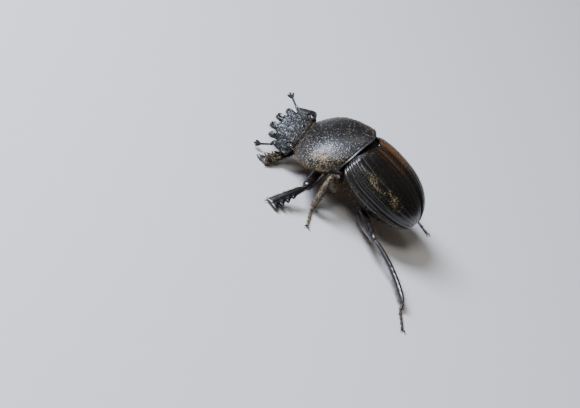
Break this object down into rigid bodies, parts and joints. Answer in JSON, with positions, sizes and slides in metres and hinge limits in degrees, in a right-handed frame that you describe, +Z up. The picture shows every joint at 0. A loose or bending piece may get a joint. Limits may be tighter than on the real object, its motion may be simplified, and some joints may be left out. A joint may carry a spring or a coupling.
{
  "type": "dung beetle figure",
  "caption": "Life-size standing dung beetle: toothed shield head, domed prothorax, ribbed wing cases, toothed digging forelegs and long curved hind legs.",
  "frame": {"origin": "middle of the beetle's bounding box, on the floor plane that its feet stand on", "axes": "+Z up, -X towards the head, -Y towards the beetle's left side"},
  "size_m": [0.0483, 0.0486, 0.0155],
  "materials": {
    "head_shield": "black chitin, coarsely wrinkled and grainy, with small wet-looking glints",
    "pronotum": "black chitin, finely granulate and satin, with a thin tan dust in its hollows",
    "wing_case": "brown-black chitin, smooth and half gloss, with fine long grooves and dust",
    "underside": "brown-black chitin, punctured, half matt",
    "leg_shell": "black chitin, polished, with rows of short spines",
    "foot": "dark brown chitin, a little dusty",
    "antenna": "dark brown chitin, smooth",
    "antenna_club": "brown-black, covered with very short down",
    "eye": "black, highly polished, with very small facets",
    "setae": "stiff red-brown bristles"
  },
  "bodies": {
    "root": {"head": "head_shield", "mouthparts": "underside", "eye_left": "eye", "antenna_left": "antenna", "antenna_club_left": "antenna_club", "elytron_left": "wing_case", "eye_right": "eye", "antenna_right": "antenna", "antenna_club_right": "antenna_club", "elytron_right": "wing_case", "prothorax": "pronotum", "thorax": "underside", "abdomen": "underside", "front_coxa_left": "underside", "front_femur_left": "leg_shell", "front_tibia_left": "leg_shell", "front_coxa_right": "underside", "front_femur_right": "leg_shell", "front_tibia_right": "leg_shell", "middle_coxa_left": "underside", "middle_femur_left": "leg_shell", "middle_tibia_left": "leg_shell", "middle_tarsus_left": "foot", "middle_coxa_right": "underside", "middle_femur_right": "leg_shell", "middle_tibia_right": "leg_shell", "middle_tarsus_right": "foot", "hind_coxa_left": "underside", "hind_femur_left": "leg_shell", "hind_tibia_left": "leg_shell", "hind_tarsus_left": "foot", "hind_coxa_right": "underside", "hind_femur_right": "leg_shell", "hind_tibia_right": "leg_shell", "hind_tarsus_right": "foot"}
  },
  "joints": []
}
